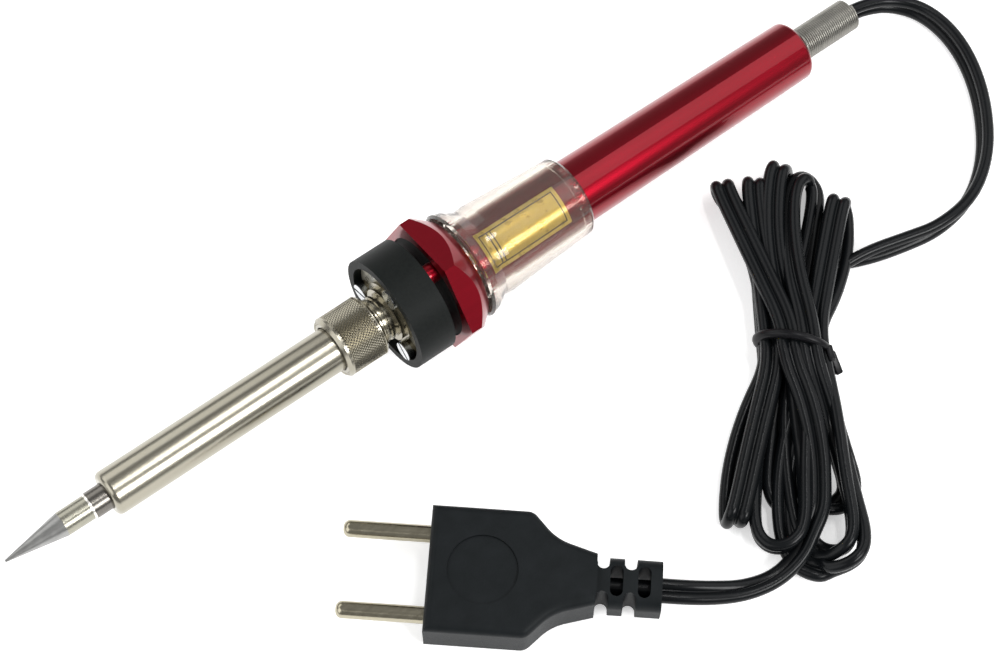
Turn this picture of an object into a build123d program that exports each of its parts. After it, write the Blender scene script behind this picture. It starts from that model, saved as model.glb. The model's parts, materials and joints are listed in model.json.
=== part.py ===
from build123d import *
import os
from math import asin, atan2, cos, degrees, hypot, radians, sin, tan

# Soldering iron with a ceramic heater in a stainless barrel, its twin flex and its two-pin plug.
# All sizes are millimetres and +Z is up. The iron lies on its hex flange and on the rear edge of its
# handle, so its tip is raised. Its axis is in the XZ plane and its tip points towards -X.
# A station is a distance along the tool's axis from the hex flange's front face, positive rearwards.
# An angle round the tool is in degrees from +Y, turning towards the top.

# ---- hex flange and handle
hex_flats = 30.0
hex_length = 8.1
hex_roll = 18.0                 # angle of the normal of one flat
hex_corner_flat = 2.7           # length of the flats at the corners, before the rear cone
hex_mid_flat = 5.5              # length of the flats at their middles
hex_recess_dia = 26.4
hex_recess_depth = 2.0
hex_web = 3.0                   # solid web between the recess and the handle's socket
hex_wire_hole = 12.0

handle_length = 107.6
handle_front_dia = 17.2
handle_rear_dia = 15.2
handle_wall = 1.2
handle_end_wall = 2.0
handle_end_round = 1.2

liner_dia = 12.4
liner_wall = 0.5
liner_front = 16.0
liner_rear = 104.0

# ---- insulating collar, its disc, spacers and screws
collar_dia = 28.8
collar_length = 9.6
collar_gap = 2.7                # air gap between the collar and the hex flange
collar_recess_dia = 24.6
collar_recess_depth = 2.6
collar_wire_hole = 8.4
rear_disc_thickness = 1.6
disc_clearance = 0.1
mica_thickness = 0.4
plate_thickness = 1.0
ear_width = 4.6
screw_pitch_radius = 9.9
screw_count = 3
screw_first_angle = 98.0
screw_dia = 3.0
screw_head_dia = 4.8
screw_head_height = 1.5
screw_slot_width = 0.7
screw_slot_depth = 0.7
screw_thread_in_hex = 2.8
spacer_dia = 5.0

# ---- neck, nut and barrel
neck_dia = 11.4
neck_hub_dia = 13.6
neck_hub_length = 1.2
neck_groove_depth = 0.45
neck_groove_width = 0.8
neck_bore = 8.2
running_clearance = 0.05        # radial, between pieces that turn or slide in each other
seat_gap = 0.05                 # axial, where the tightened nut, barrel and neck meet
nut_wall = 1.4                  # outside the thread
nut_length = 10.9
nut_chamfer = 0.6
nut_lip = 2.0
nut_lip_clearance = 0.2         # radial, round the barrel
nut_to_plate = 5.2              # neck that shows between the nut and the ear plate
barrel_dia = 11.0
barrel_length = 61.1            # from its front to the nut's front
barrel_wall = 0.7
barrel_front_wall = 1.5
barrel_front_round = 1.4
barrel_flange_step = 0.7        # radial, outside the barrel
barrel_flange = 1.1
barrel_flange_clearance = 0.1   # radial, inside the thread

# ---- tip and heater
tip_stickout = 25.9             # from the barrel's front to the point
tip_point_dia = 0.6
tip_cone_length = 14.5
tip_cone_dia = 5.9
tip_band_length = 7.0
tip_band_dia = 6.0
tip_body_dia = 6.5
tip_mouth_clearance = 0.1
tip_shoulder_clearance = 0.2    # radial, inside the barrel
tip_shoulder = 2.0
tip_shank_dia = 6.8
tip_shank_length = 18.0
tip_bore_depth = 24.0           # from the shank's open end
core_dia = 4.0
core_clearance = 0.1
core_end_gap = 1.0
heater_base_dia = 8.0

# ---- wiring inside the handle
lead_offset = 1.45
lead_dia = 0.8
lead_sleeve_dia = 1.8
conductor_dia = 1.4
terminal_front = 26.0
terminal_length = 14.0
terminal_width = 7.6
terminal_height = 7.0
terminal_screw_dia = 1.4
terminal_screw_head = 2.0
stripped_from = 92.0            # station where the flex's own jacket ends
clamp_front = 97.0
clamp_length = 7.0
clamp_dia = 11.2
clamp_flat = 3.6                # height of the clamp's flat above the axis
clamp_screw_dia = 2.2

# ---- rear strain relief
spring_dia = 8.3
spring_wire = 0.65
spring_coils = 28
spring_base_dia = 9.5
spring_base_coils = 2
ferrule_bore = 6.0
ferrule_nose = 6.0              # length that stands inside the spring
ferrule_flange_dia = 11.0
ferrule_flange = 1.5

# ---- soft clear sleeve and nameplate
sleeve_gap = 0.8
sleeve_length = 33.0
sleeve_flange_dia = 27.4
sleeve_flange = 2.4
sleeve_waist_dia = 22.6
sleeve_waist = 5.6              # from the sleeve's front to its waist
sleeve_body_dia = 23.1
sleeve_body = 8.5               # from the sleeve's front to the body's thickest place
sleeve_rear_dia = 20.5
sleeve_bore_gap = 0.3
sleeve_grip = 2.5               # length at each end that grips the handle
plate_label_front = 12.1
plate_label_length = 24.0
plate_label_from = 85.0
plate_label_sweep = 64.0
plate_label_thickness = 0.15

# ---- flex: a twin flex 2.9 x 5.8, shown as one round tube of the same section
flex_dia = 4.2
flex_to_hank = [
    (133.3, -1.3, 5.0), (138.7, -6.8, 3.6), (141.2, -15.1, 2.6), (140.4, -24.6, 2.3),
    (136.7, -34.2, 2.3), (130.7, -43.8, 2.3), (121.0, -52.4, 2.3), (109.6, -57.4, 2.3),
    (97.8, -57.2, 2.3), (86.6, -53.2, 3.1), (76.4, -51.0, 4.6)]
flex_first_run = 5.0
flex_to_plug = [
    (0.8, -95.2, 4.3), (7.2, -98.6, 2.6), (14.2, -100.7, 2.3), (21.4, -100.6, 2.6), (28.2, -98.0, 3.2)]
plug_first_run = 5.2
arc_share = 0.45                # of the shorter run beside a corner

# ---- hank of folded flex and its tie
hank_top = (80.4, -21.4)
hank_heading = -124.4           # direction of the hank's length on the floor, from +X
# distance along, offset to the side, width, height, height of the centre
hank_sections = [
    (-1.5, 1.0, 20.0, 5.0, 5.0), (6.0, 0.0, 31.0, 8.0, 4.8), (24.0, 1.7, 26.5, 11.0, 6.0),
    (38.0, -0.8, 18.0, 12.0, 7.4), (46.4, -1.0, 15.4, 10.6, 8.0), (50.0, -1.0, 15.4, 10.6, 8.0),
    (58.0, -2.2, 21.0, 11.0, 7.0), (74.0, -2.0, 29.5, 9.6, 5.4), (88.0, -4.0, 32.0, 8.0, 4.4),
    (98.0, -0.5, 21.0, 6.4, 3.6), (103.4, 0.8, 10.0, 5.0, 2.9)]
tie_first, tie_last = 4, 5      # sections between which the hank has one shape, under the tie
tie_inset = 0.6
tie_wall = 2.2
tie_head = (4.6, 3.6, 4.0)

# ---- plug
plug_front = (-48.0, -53.0)
plug_heading = -41.5            # direction from the pins to the flex, from +X
plug_width = 29.4
plug_straight = 22.8
plug_shoulder = 5.6             # length of the sloping shoulder
plug_waist_width = 17.4
plug_corner_rounds = [3.0, 12.0]
plug_neck = 37.8
plug_neck_width = 11.8
plug_length = 52.4
plug_thickness = 13.5
plug_relief_thickness = 10.6
plug_edge_round = 1.8
plug_recess_dia = 16.0
plug_recess_from_front = 12.3
plug_recess_depth = 0.5
pin_dia = 4.0
pin_length = 20.0
pin_spacing = 19.0
pin_end_round = 1.5
pin_shank_dia = 3.2             # inside the plug, behind a shoulder that stops on its front face
pin_root = 8.0
bridge_front = 1.5
bridge_length = 5.0
bridge_width = 25.0
bridge_height = 7.0
relief_slot_width = 2.9
relief_slot_length = 7.2
relief_notch_depth = 3.3
relief_step = 6.2               # from one slot to the next
relief_first_slot = 42.2
plug_jacket_from = 39.0         # where the flex's jacket begins inside the plug
solder_gap = 0.2                # left at each end of a slanting lead

# ---- places that follow from the sizes above
collar_rear = -collar_gap
collar_front = collar_rear - collar_length
recess_floor = collar_front + collar_recess_depth
mica_front = recess_floor - mica_thickness
plate_front = mica_front - plate_thickness
nut_lip_hole = barrel_dia + 2 * nut_lip_clearance
barrel_flange_dia = barrel_dia + 2 * barrel_flange_step
thread_dia = barrel_flange_dia + 2 * barrel_flange_clearance
nut_dia = thread_dia + 2 * nut_wall
tip_shoulder_dia = barrel_dia - 2 * barrel_wall - 2 * tip_shoulder_clearance
nut_rear = plate_front - nut_to_plate
nut_front = nut_rear - nut_length
barrel_rear = nut_front + nut_lip + seat_gap + barrel_flange
neck_front = barrel_rear + seat_gap
barrel_front = nut_front - barrel_length
tip_end = barrel_front - tip_stickout
socket_floor = hex_recess_depth + hex_web
handle_rear = socket_floor + handle_length
spring_end = handle_rear + spring_wire * spring_coils
shoulder_front = barrel_front + barrel_front_wall
shank_end = shoulder_front + tip_shoulder + tip_shank_length
bore_end = shank_end - tip_bore_depth
spring_bore = spring_dia - 2 * spring_wire
hex_corner_radius = hex_flats / 2 / cos(radians(30))
hex_cone_slope = (hex_corner_radius - hex_flats / 2) / (hex_mid_flat - hex_corner_flat)

# ---- how the iron lies: tilted until the hex's lowest corner and the handle's rear edge both touch z = 0
corner_below = max(
    hex_corner_radius * -sin(radians(hex_roll + 30 + 60 * k)) for k in range(6))
edge_centre_radius = handle_rear_dia / 2 - handle_end_round
edge_centre_station = handle_rear - handle_end_round
rise = corner_below - edge_centre_radius
run = edge_centre_station - hex_corner_flat
tilt = atan2(rise, run) - asin(handle_end_round / hypot(rise, run))
axis_height = corner_below * cos(tilt) + hex_corner_flat * sin(tilt)
axis_x = -(tip_end + spring_end) / 2 * cos(tilt)

origin = Vector(axis_x, 0, axis_height)
along = Vector(cos(tilt), 0, -sin(tilt))
upward = Vector(sin(tilt), 0, cos(tilt))
tool_axis = Axis(origin, along)


def on_axis(station, side=0.0, up=0.0):
    """The point at a station, offset sideways towards +Y and upwards from the axis."""
    return origin + along * station + Vector(0, 1, 0) * side + upward * up


def across(station):
    """The plane square to the axis at a station; its X is +Y and its Y is the tool's top."""
    return Plane(origin=on_axis(station), x_dir=(0, 1, 0), z_dir=along)


def lengthwise(angle=90.0):
    """The plane through the axis at an angle; its X is the station and its Y the radius."""
    outward = Vector(0, 1, 0) * cos(radians(angle)) + upward * sin(radians(angle))
    return Plane(origin=origin, x_dir=along, z_dir=along.cross(outward))


def half_section(*corners, angle=90.0):
    """The face inside corners, each (station, radius), to be revolved about the axis."""
    with BuildSketch(lengthwise(angle)) as section:
        with BuildLine():
            Polyline(*corners, close=True)
        make_face()
    return section.sketch


def ring(front, rear, outer_dia, inner_dia=0.0):
    """The half section of a plain tube or disc."""
    return half_section(
        (front, inner_dia / 2), (rear, inner_dia / 2), (rear, outer_dia / 2), (front, outer_dia / 2))


def screw_places(count=screw_count, radius=screw_pitch_radius):
    return PolarLocations(radius, count, start_angle=screw_first_angle)


def handle_radius(station):
    """The outside radius of the tapered handle."""
    share = max(0.0, (station - hex_length) / (handle_rear - hex_length))
    return (handle_front_dia + (handle_rear_dia - handle_front_dia) * share) / 2


def corner_radii(points):
    """The radius of each arc of a flex's tube, and a printed line of them."""
    radii = []
    for before, corner, after in zip(points, points[1:], points[2:]):
        run_in = Vector(*corner) - Vector(*before)
        run_out = Vector(*after) - Vector(*corner)
        half_turn = radians(run_in.get_angle(run_out)) / 2
        radii.append(arc_share * min(run_in.length, run_out.length) / tan(half_turn))
    print("flex arc radii", [round(r, 1) for r in radii])
    return radii


def save(piece, name):
    """Label a finished piece and write it as a STEP file."""
    piece.part.label = name
    export_step(piece.part, f"parts/{name}.step")


os.makedirs("parts", exist_ok=True)

# ==== working end ====

# Soldering tip: plated copper, hollow at the back, held by a shoulder behind the barrel's mouth.
cone_end = tip_end + tip_cone_length
band_end = cone_end + tip_band_length
with BuildPart() as soldering_tip:
    revolve(half_section(
        (tip_end, 0), (tip_end, tip_point_dia / 2), (cone_end, tip_cone_dia / 2),
        (band_end, tip_band_dia / 2), (band_end, tip_body_dia / 2), (shoulder_front + seat_gap, tip_body_dia / 2),
        (shoulder_front + seat_gap, tip_shoulder_dia / 2), (shoulder_front + tip_shoulder, tip_shoulder_dia / 2),
        (shoulder_front + tip_shoulder, tip_shank_dia / 2), (shank_end, tip_shank_dia / 2),
        (shank_end, core_dia / 2 + core_clearance), (bore_end, core_dia / 2 + core_clearance),
        (bore_end, 0)), axis=tool_axis)
save(soldering_tip, "soldering_tip")

# Barrel: thin stainless tube, rounded in to a mouth at the front and flared to a flange at the back.
mouth_dia = tip_body_dia + 2 * tip_mouth_clearance
with BuildPart() as barrel:
    revolve(half_section(
        (barrel_front, mouth_dia / 2), (barrel_front, barrel_dia / 2),
        (barrel_rear - barrel_flange, barrel_dia / 2), (barrel_rear - barrel_flange, barrel_flange_dia / 2),
        (barrel_rear, barrel_flange_dia / 2), (barrel_rear, barrel_dia / 2 - barrel_wall),
        (shoulder_front, barrel_dia / 2 - barrel_wall), (shoulder_front, mouth_dia / 2)), axis=tool_axis)
    front_rim = barrel.edges().filter_by(GeomType.CIRCLE).filter_by(
        lambda edge: abs(edge.radius - barrel_dia / 2) < 0.01).sort_by(tool_axis)[0]
    fillet(front_rim, barrel_front_round)
save(barrel, "barrel")

# Knurled nut: draws the barrel's flange on to the neck.
with BuildPart() as knurled_nut:
    revolve(half_section(
        (nut_front, nut_lip_hole / 2 + nut_chamfer), (nut_front, nut_dia / 2 - nut_chamfer),
        (nut_front + nut_chamfer, nut_dia / 2), (nut_rear - nut_chamfer, nut_dia / 2),
        (nut_rear, nut_dia / 2 - nut_chamfer), (nut_rear, thread_dia / 2 + running_clearance),
        (nut_front + nut_lip, thread_dia / 2 + running_clearance), (nut_front + nut_lip, nut_lip_hole / 2),
        (nut_front + nut_chamfer, nut_lip_hole / 2)), axis=tool_axis)
save(knurled_nut, "knurled_nut")

# Threaded neck: turned nickel-plated tube with three grooves, spun on to the ear plate.
hub_front = plate_front - neck_hub_length
groove_step = (hub_front - nut_rear) / 3
with BuildPart() as threaded_neck:
    revolve(ring(neck_front, nut_rear - 2 * seat_gap, thread_dia, neck_bore), axis=tool_axis)
    revolve(ring(nut_rear - 2 * seat_gap, hub_front, neck_dia, neck_bore), axis=tool_axis)
    revolve(ring(hub_front, plate_front, neck_hub_dia, neck_bore), axis=tool_axis)
    for groove in range(3):
        groove_front = nut_rear + groove_step * (groove + 0.5) - neck_groove_width / 2
        revolve(ring(groove_front, groove_front + neck_groove_width, neck_dia + 1,
                     neck_dia - 2 * neck_groove_depth), axis=tool_axis, mode=Mode.SUBTRACT)
save(threaded_neck, "threaded_neck")

# Ear plate: three ears that the long screws hold.
with BuildPart() as ear_plate:
    with BuildSketch(across(plate_front)):
        Circle(neck_hub_dia / 2 + 1)
        for ear in range(screw_count):
            ear_angle = radians(screw_first_angle + ear * 360 / screw_count)
            SlotCenterPoint((0, 0), (screw_pitch_radius / 2 * cos(ear_angle), screw_pitch_radius / 2 * sin(ear_angle)),
                            ear_width)
            with Locations((screw_pitch_radius * cos(ear_angle), screw_pitch_radius * sin(ear_angle))):
                Circle(ear_width / 2)
        Circle(neck_bore / 2, mode=Mode.SUBTRACT)
        with screw_places():
            Circle(screw_dia / 2, mode=Mode.SUBTRACT)
    extrude(amount=plate_thickness)
save(ear_plate, "ear_plate")

# Heater: a ceramic rod in a ceramic base.
base_front = neck_front + 1.0
base_rear = collar_rear
with BuildPart() as heater_core:
    revolve(ring(bore_end + core_end_gap, base_front, core_dia), axis=tool_axis)
save(heater_core, "heater_core")

with BuildPart() as heater_base:
    revolve(ring(base_front, base_rear, heater_base_dia), axis=tool_axis)
save(heater_base, "heater_base")

# ==== insulating collar ====

with BuildPart() as mica_disc:
    with BuildSketch(across(mica_front)):
        Circle(collar_recess_dia / 2 - disc_clearance)
        Circle(neck_bore / 2, mode=Mode.SUBTRACT)
        with screw_places():
            Circle(screw_dia / 2, mode=Mode.SUBTRACT)
    extrude(amount=mica_thickness)
save(mica_disc, "mica_disc")

with BuildPart() as insulating_collar:
    with BuildSketch(across(collar_front)):
        Circle(collar_dia / 2)
        Circle(collar_wire_hole / 2, mode=Mode.SUBTRACT)
        with screw_places():
            Circle(screw_dia / 2, mode=Mode.SUBTRACT)
    extrude(amount=collar_length)
    with BuildSketch(across(collar_front)):
        Circle(collar_recess_dia / 2)
    extrude(amount=collar_recess_depth, mode=Mode.SUBTRACT)
save(insulating_collar, "insulating_collar")

disc_rear = hex_recess_depth
disc_front = disc_rear - rear_disc_thickness
with BuildPart() as spacers:
    with BuildSketch(across(collar_rear)):
        with screw_places():
            Circle(spacer_dia / 2)
            Circle(screw_dia / 2, mode=Mode.SUBTRACT)
    extrude(amount=disc_front - collar_rear)
save(spacers, "spacers")

with BuildPart() as rear_disc:
    with BuildSketch(across(disc_front)):
        Circle(hex_recess_dia / 2 - disc_clearance)
        Circle(collar_wire_hole / 2, mode=Mode.SUBTRACT)
        with screw_places():
            Circle(screw_dia / 2, mode=Mode.SUBTRACT)
    extrude(amount=rear_disc_thickness)
save(rear_disc, "rear_disc")

# Long screws: through the ear plate, mica, collar, spacers and disc into the hex flange.
screw_end = hex_recess_depth + screw_thread_in_hex
with BuildPart() as flange_screws:
    with BuildSketch(across(plate_front - screw_head_height)):
        with screw_places():
            Circle(screw_head_dia / 2)
    extrude(amount=screw_head_height)
    with BuildSketch(across(plate_front)):
        with screw_places():
            Circle(screw_dia / 2)
    extrude(amount=screw_end - plate_front)
    with BuildSketch(across(plate_front - screw_head_height)):
        with screw_places():
            Rectangle(screw_head_dia + 1, screw_slot_width)
    extrude(amount=screw_slot_depth, mode=Mode.SUBTRACT)
save(flange_screws, "flange_screws")

# ==== handle ====

# Hex flange: anodised aluminium hexagon, turned to a cone at the back, bored for the handle.
with BuildPart() as hex_flange:
    with BuildSketch(across(0)):
        RegularPolygon(hex_flats / 2, 6, major_radius=False, rotation=hex_roll + 30)
    extrude(amount=hex_length)
    revolve(half_section(
        (0, 0), (0, hex_corner_radius + 1), (hex_corner_flat, hex_corner_radius + 1),
        (hex_corner_flat, hex_corner_radius),
        (hex_length, hex_corner_radius - hex_cone_slope * (hex_length - hex_corner_flat)),
        (hex_length, 0)), axis=tool_axis, mode=Mode.INTERSECT)
    revolve(ring(0, hex_recess_depth, hex_recess_dia), axis=tool_axis, mode=Mode.SUBTRACT)
    revolve(ring(hex_recess_depth, socket_floor, hex_wire_hole), axis=tool_axis, mode=Mode.SUBTRACT)
    revolve(ring(socket_floor, hex_length, handle_front_dia), axis=tool_axis, mode=Mode.SUBTRACT)
    with BuildSketch(across(hex_recess_depth)):
        with screw_places():
            Circle(screw_dia / 2)
    extrude(amount=screw_thread_in_hex, mode=Mode.SUBTRACT)
save(hex_flange, "hex_flange")

# Handle tube: drawn and anodised aluminium, tapered, with a holed end.
inner_rear = handle_rear - handle_end_wall
with BuildPart() as handle_tube:
    revolve(half_section(
        (socket_floor, handle_front_dia / 2), (hex_length, handle_front_dia / 2),
        (handle_rear, handle_rear_dia / 2), (handle_rear, spring_bore / 2),
        (inner_rear, spring_bore / 2), (inner_rear, handle_radius(inner_rear) - handle_wall),
        (hex_length, handle_front_dia / 2 - handle_wall),
        (socket_floor, handle_front_dia / 2 - handle_wall)), axis=tool_axis)
    rear_rim = handle_tube.edges().filter_by(GeomType.CIRCLE).filter_by(
        lambda edge: abs(edge.radius - handle_rear_dia / 2) < 0.01).sort_by(tool_axis)[-1]
    fillet(rear_rim, handle_end_round)
save(handle_tube, "handle_tube")

with BuildPart() as inner_liner:
    revolve(ring(liner_front, liner_rear, liner_dia, liner_dia - 2 * liner_wall), axis=tool_axis)
save(inner_liner, "inner_liner")

# Clear sleeve: soft moulded plastic that grips the handle at both ends and clears the nameplate between.
sleeve_front = hex_length + sleeve_gap
sleeve_rear = sleeve_front + sleeve_length
grip_front = sleeve_front + sleeve_grip
grip_rear = sleeve_rear - sleeve_grip
with BuildPart() as grip_sleeve:
    revolve(half_section(
        (sleeve_front, handle_radius(sleeve_front)), (sleeve_front, sleeve_flange_dia / 2 - 0.6),
        (sleeve_front + 0.6, sleeve_flange_dia / 2), (sleeve_front + sleeve_flange, sleeve_flange_dia / 2 - 0.5),
        (sleeve_front + sleeve_waist, sleeve_waist_dia / 2), (sleeve_front + sleeve_body, sleeve_body_dia / 2),
        (sleeve_rear - 0.8, sleeve_rear_dia / 2), (sleeve_rear, sleeve_rear_dia / 2 - 0.8),
        (sleeve_rear, handle_radius(sleeve_rear)), (grip_rear, handle_radius(grip_rear)),
        (grip_rear, handle_radius(grip_rear) + sleeve_bore_gap),
        (grip_front, handle_radius(grip_front) + sleeve_bore_gap),
        (grip_front, handle_radius(grip_front))), axis=tool_axis)
save(grip_sleeve, "grip_sleeve")

label_rear = plate_label_front + plate_label_length
with BuildPart() as nameplate:
    revolve(half_section(
        (plate_label_front, handle_radius(plate_label_front)), (label_rear, handle_radius(label_rear)),
        (label_rear, handle_radius(label_rear) + plate_label_thickness),
        (plate_label_front, handle_radius(plate_label_front) + plate_label_thickness),
        angle=plate_label_from), axis=tool_axis, revolution_arc=plate_label_sweep)
save(nameplate, "nameplate")

# ==== wiring inside the handle ====

terminal_rear = terminal_front + terminal_length
sides = (-lead_offset, lead_offset)
with BuildPart() as heater_leads:
    with BuildSketch(across(base_rear)):
        with Locations(*[(side, 0) for side in sides]):
            Circle(lead_dia / 2)
    extrude(amount=terminal_front - base_rear + terminal_length / 3)
save(heater_leads, "heater_leads")

with BuildPart() as lead_sleeves:
    with BuildSketch(across(base_rear + 1)):
        with Locations(*[(side, 0) for side in sides]):
            Circle(lead_sleeve_dia / 2)
            Circle(lead_dia / 2, mode=Mode.SUBTRACT)
    extrude(amount=terminal_front - base_rear - 2)
save(lead_sleeves, "lead_sleeves")

with BuildPart() as terminal_block:
    with BuildSketch(across(terminal_front)):
        Rectangle(terminal_width, terminal_height)
        with Locations(*[(side, 0) for side in sides]):
            Circle(conductor_dia / 2, mode=Mode.SUBTRACT)
    extrude(amount=terminal_length)
    for station in (terminal_front + terminal_length / 4, terminal_rear - terminal_length / 4):
        top = Plane(origin=on_axis(station, up=terminal_height / 2), x_dir=(0, 1, 0), z_dir=upward)
        with BuildSketch(top):
            with Locations(*[(side, 0) for side in sides]):
                Circle(terminal_screw_dia / 2)
        extrude(amount=-(terminal_height - conductor_dia) / 2, mode=Mode.SUBTRACT)
save(terminal_block, "terminal_block")

with BuildPart() as terminal_screws:
    for station in (terminal_front + terminal_length / 4, terminal_rear - terminal_length / 4):
        top = Plane(origin=on_axis(station, up=terminal_height / 2), x_dir=(0, 1, 0), z_dir=upward)
        with BuildSketch(top):
            with Locations(*[(side, 0) for side in sides]):
                Circle(terminal_screw_dia / 2)
        extrude(amount=-(terminal_height - conductor_dia) / 2)
        with BuildSketch(top):
            with Locations(*[(side, 0) for side in sides]):
                Circle(terminal_screw_head / 2)
        extrude(amount=terminal_screw_dia / 2)
save(terminal_screws, "terminal_screws")

with BuildPart() as flex_conductors:
    with BuildSketch(across(terminal_rear - terminal_length / 3)):
        with Locations(*[(side, 0) for side in sides]):
            Circle(conductor_dia / 2)
    extrude(amount=stripped_from - terminal_rear + terminal_length / 3)
save(flex_conductors, "flex_conductors")

with BuildPart() as flex_in_handle:
    revolve(ring(stripped_from, spring_end, flex_dia), axis=tool_axis)
save(flex_in_handle, "flex_in_handle")

# Clamp: a block round the flex with a screw that stops a pull on it.
clamp_middle = clamp_front + clamp_length / 2
clamp_top = Plane(origin=on_axis(clamp_middle, up=clamp_flat), x_dir=(0, 1, 0), z_dir=upward)
with BuildPart() as flex_clamp:
    with BuildSketch(across(clamp_front)):
        Circle(clamp_dia / 2)
        with Locations((0, clamp_flat + clamp_dia / 2)):
            Rectangle(clamp_dia, clamp_dia, mode=Mode.SUBTRACT)
        Circle(flex_dia / 2, mode=Mode.SUBTRACT)
    extrude(amount=clamp_length)
    with BuildSketch(clamp_top):
        Circle(clamp_screw_dia / 2)
    extrude(amount=-clamp_flat + flex_dia / 4, mode=Mode.SUBTRACT)
save(flex_clamp, "flex_clamp")

with BuildPart() as clamp_screw:
    with BuildSketch(Plane(origin=on_axis(clamp_middle, up=flex_dia / 2), x_dir=(0, 1, 0), z_dir=upward)):
        Circle(clamp_screw_dia / 2)
    extrude(amount=clamp_flat - flex_dia / 2 + clamp_screw_dia / 2)
save(clamp_screw, "clamp_screw")

# ==== rear strain relief ====

with BuildPart() as flex_ferrule:
    revolve(ring(inner_rear - ferrule_flange, inner_rear, ferrule_flange_dia, ferrule_bore), axis=tool_axis)
    revolve(ring(inner_rear, handle_rear + ferrule_nose, spring_bore, ferrule_bore), axis=tool_axis)
save(flex_ferrule, "flex_ferrule")

# Spring: close-wound wire, here a tube with one rounded rib for each coil and two larger coils at its base.
spring_line = [(handle_rear, spring_bore / 2)]
for coil in range(spring_coils):
    coil_dia = spring_base_dia if coil < spring_base_coils else spring_dia
    coil_front = handle_rear + coil * spring_wire
    spring_line += [(coil_front, coil_dia / 2 - spring_wire / 2),
                    (coil_front + spring_wire / 2, coil_dia / 2),
                    (coil_front + spring_wire, coil_dia / 2 - spring_wire / 2)]
spring_line += [(spring_end, spring_bore / 2)]
spring_line = [point for k, point in enumerate(spring_line) if k == 0 or point != spring_line[k - 1]]
with BuildPart() as relief_spring:
    revolve(half_section(*spring_line), axis=tool_axis)
save(relief_spring, "relief_spring")

# ==== plug ====

heading = radians(plug_heading)
plug_along = Vector(cos(heading), sin(heading), 0)
plug_floor = Plane(origin=(plug_front[0], plug_front[1], 0), x_dir=plug_along, z_dir=(0, 0, 1))
plug_mid = plug_thickness / 2


def in_plug(x, y=0.0, z=plug_mid):
    """A point of the plug: x from its front face, y to its left, z from the floor."""
    return plug_floor.from_local_coords(Vector(x, y, z))


def rod(start, end, diameter):
    """The face of a straight round rod at its start, and its length."""
    line = end - start
    with BuildSketch(Plane(origin=start, z_dir=line)) as face:
        Circle(diameter / 2)
    return face.sketch, line.length


pin_sides = (-pin_spacing / 2, pin_spacing / 2)
plug_leads_ends = [
    (in_plug(pin_root + solder_gap, side),
     in_plug(plug_jacket_from - solder_gap, side / pin_spacing * 2 * lead_offset)) for side in pin_sides]

with BuildPart() as plug_body:
    with BuildSketch(plug_floor):
        with BuildLine():
            Line((0, 0), (0, plug_width / 2))
            FilletPolyline((0, plug_width / 2), (plug_straight, plug_width / 2),
                           (plug_straight + plug_shoulder, plug_waist_width / 2),
                           (plug_neck, plug_neck_width / 2), radius=plug_corner_rounds)
            Line((plug_neck, plug_neck_width / 2), (plug_neck, 0))
            mirror(about=Plane.XZ)
        make_face()
    extrude(amount=plug_thickness)
    rims = plug_body.faces().sort_by(Axis.Z)[-1].edges() + plug_body.faces().sort_by(Axis.Z)[0].edges()
    fillet([edge for edge in rims if plug_floor.to_local_coords(edge.center()).X < plug_neck - 0.1], plug_edge_round)
    with BuildSketch(Plane(origin=in_plug(plug_neck), x_dir=plug_along.cross(Vector(0, 0, -1)), z_dir=plug_along)):
        RectangleRounded(plug_neck_width, plug_relief_thickness, plug_relief_thickness * 0.3)
    extrude(amount=plug_length - plug_neck)
    # round recess in the top
    with BuildSketch(Plane(origin=in_plug(plug_recess_from_front, 0, plug_thickness), z_dir=(0, 0, 1))):
        Circle(plug_recess_dia / 2)
    extrude(amount=-plug_recess_depth, mode=Mode.SUBTRACT)
    # slots through the relief, and notches at its sides half a step before each
    for slot in range(2):
        slot_x = relief_first_slot + slot * relief_step
        with BuildSketch(plug_floor):
            with Locations((slot_x, 0)):
                SlotOverall(relief_slot_length, relief_slot_width, rotation=90)
            with Locations((slot_x - relief_step / 2, plug_neck_width / 2),
                           (slot_x - relief_step / 2, -plug_neck_width / 2)):
                SlotOverall(2 * relief_notch_depth, relief_slot_width, rotation=90)
        extrude(amount=plug_thickness, mode=Mode.SUBTRACT)
    # cavity for the bridge, holes for the pins, leads and flex
    with BuildSketch(Plane(origin=in_plug(bridge_front), x_dir=plug_along.cross(Vector(0, 0, -1)), z_dir=plug_along)):
        Rectangle(bridge_width, bridge_height)
    extrude(amount=bridge_length, mode=Mode.SUBTRACT)
    for side, ends in zip(pin_sides, plug_leads_ends):
        pin_hole, pin_hole_depth = rod(in_plug(0, side), in_plug(pin_root, side), pin_shank_dia)
        extrude(pin_hole, amount=pin_hole_depth, mode=Mode.SUBTRACT)
        lead_hole, lead_hole_depth = rod(*ends, conductor_dia)
        extrude(lead_hole, amount=lead_hole_depth, mode=Mode.SUBTRACT)
    jacket_hole, jacket_depth = rod(in_plug(plug_jacket_from), in_plug(plug_length), flex_dia)
    extrude(jacket_hole, amount=jacket_depth, mode=Mode.SUBTRACT)
save(plug_body, "plug_body")

with BuildPart() as plug_pins:
    for side in pin_sides:
        shank, shank_length = rod(in_plug(pin_root, side), in_plug(0, side), pin_shank_dia)
        extrude(shank, amount=shank_length)
        pin_face, pin_run = rod(in_plug(0, side), in_plug(-pin_length, side), pin_dia)
        extrude(pin_face, amount=pin_run)
    pin_ends = plug_pins.edges().filter_by(GeomType.CIRCLE).sort_by(Axis(in_plug(0), plug_along))[:2]
    fillet(pin_ends, pin_end_round)
save(plug_pins, "plug_pins")

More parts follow.
